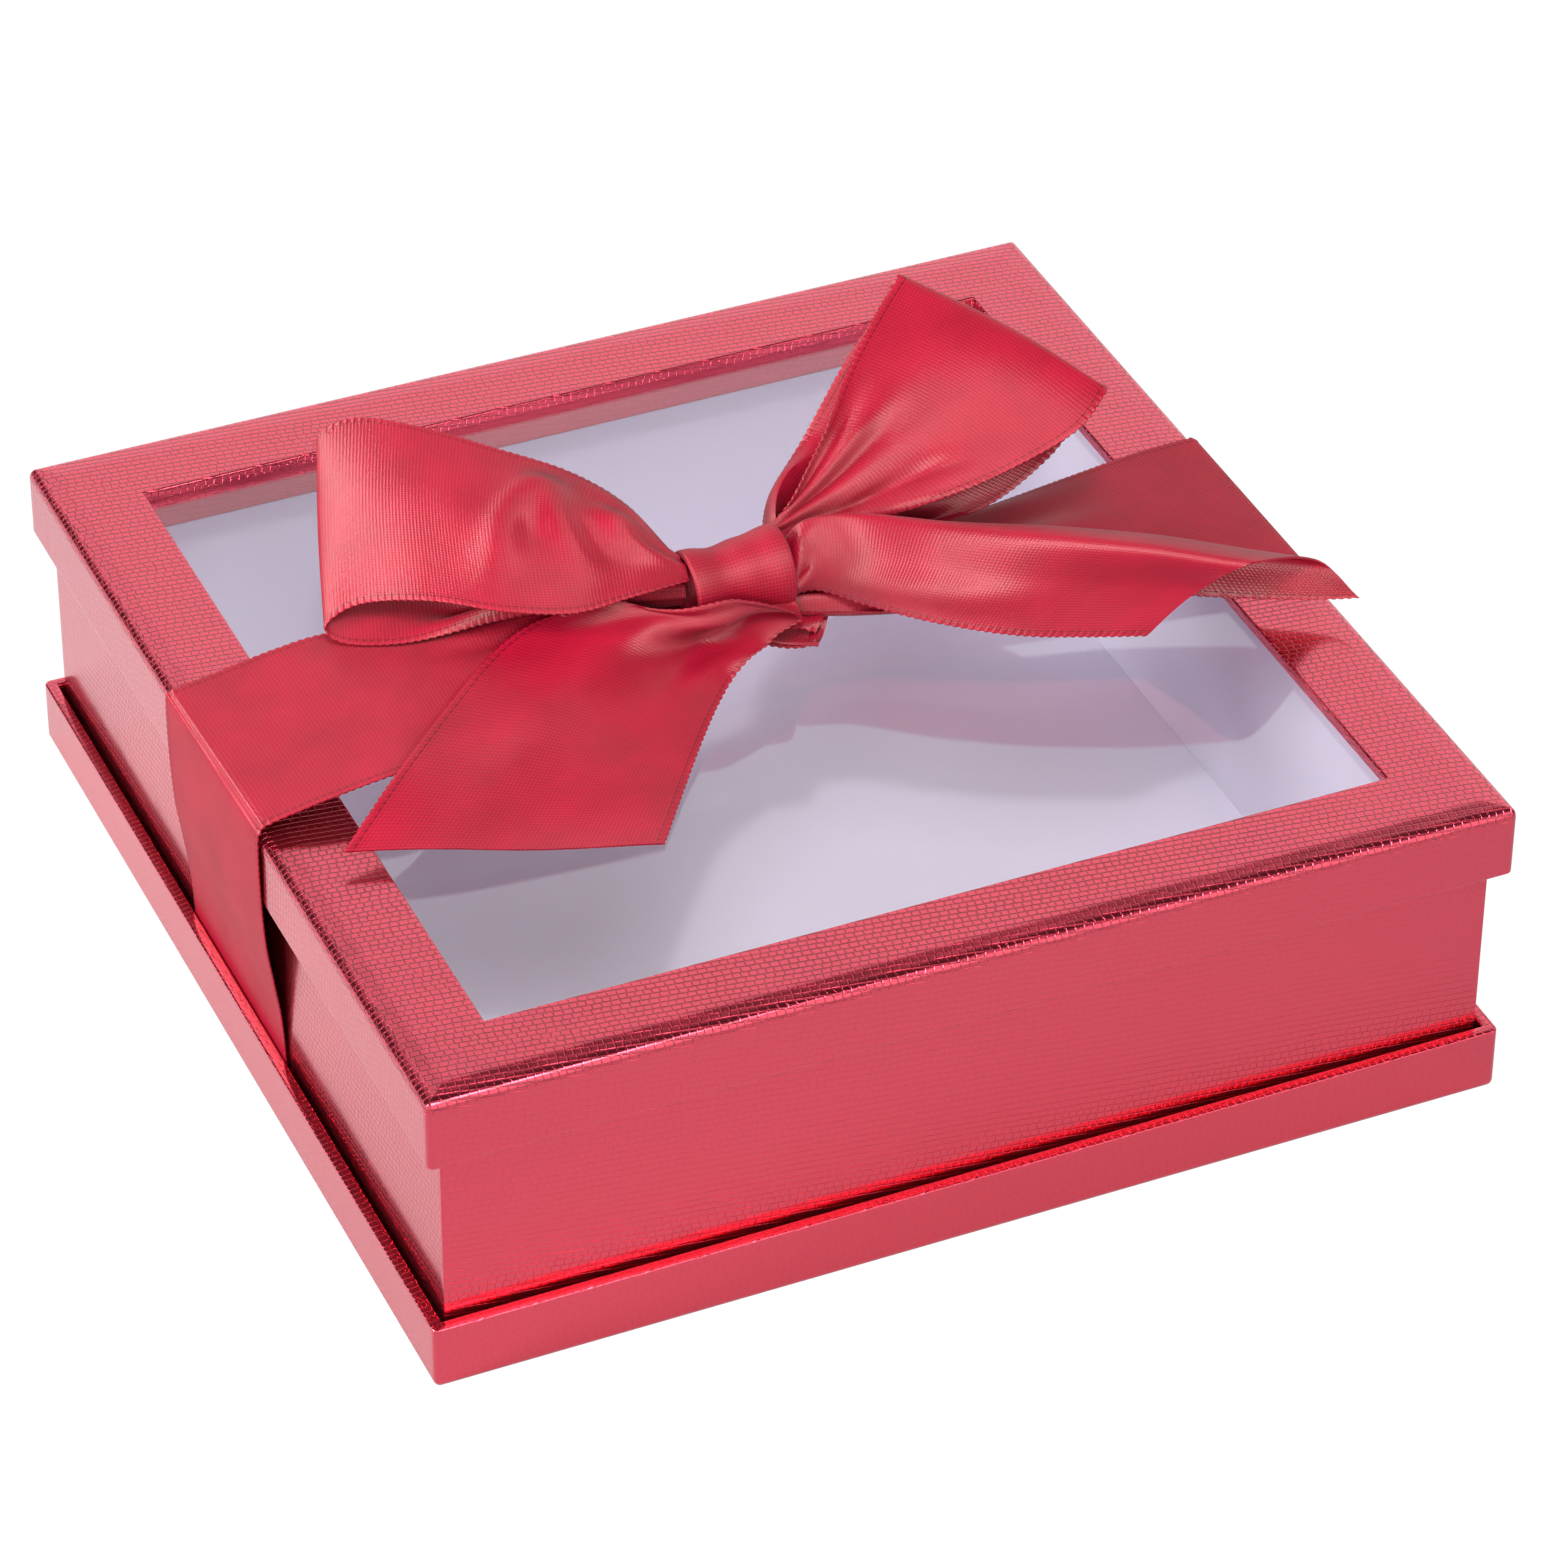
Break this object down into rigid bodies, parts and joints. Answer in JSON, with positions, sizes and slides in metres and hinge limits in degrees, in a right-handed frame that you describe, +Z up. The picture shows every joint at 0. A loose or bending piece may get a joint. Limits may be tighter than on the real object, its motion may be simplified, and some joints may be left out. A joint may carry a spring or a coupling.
{
  "type": "cake box",
  "caption": "Square rigid cake box: shallow tray with a standing neck, lift-off lid with a clear window in a wrapped frame, and a satin ribbon tied in a bow over the lid.",
  "frame": {"origin": "centre of the tray's underside, on the surface that the box stands on", "axes": "+X along the front edge to the right, +Y from the front to the back, +Z up"},
  "size_m": [0.1662, 0.165, 0.0831],
  "materials": {
    "embossed_paper": "metallic red paper embossed with small brick cells",
    "grey_board": "raw grey board",
    "lining_paper": "matt pale lilac paper",
    "stay_paper": "gummed brown paper",
    "clear_film": "clear gloss film",
    "satin": "red double-faced satin"
  },
  "bodies": {
    "base": {"tray_wrap": "embossed_paper", "tray_board": "grey_board", "neck_board": "grey_board", "neck_wrap": "embossed_paper", "neck_lining": "lining_paper", "floor_lining": "lining_paper", "tray_stay_front_left": "stay_paper", "tray_stay_front_right": "stay_paper", "tray_stay_back_right": "stay_paper", "tray_stay_back_left": "stay_paper", "neck_stay_front_left": "stay_paper", "neck_stay_front_right": "stay_paper", "neck_stay_back_right": "stay_paper", "neck_stay_back_left": "stay_paper"},
    "lid": {"lid_board": "grey_board", "lid_wrap": "embossed_paper", "window_film": "clear_film", "lid_lining": "lining_paper", "lid_stay_front_left": "stay_paper", "lid_stay_front_right": "stay_paper", "lid_stay_back_right": "stay_paper", "lid_stay_back_left": "stay_paper", "ribbon_run_left": "satin", "ribbon_run_right": "satin", "bow_knot": "satin", "bow_crossing": "satin", "bow_loop_left": "satin", "bow_loop_right": "satin", "bow_tail_left": "satin", "bow_tail_right": "satin"}
  },
  "joints": [
    {"name": "lid_lift", "type": "slide", "parent": "base", "child": "lid", "axis": [0, 0, 1], "range_m": [0, 0.06]}
  ]
}
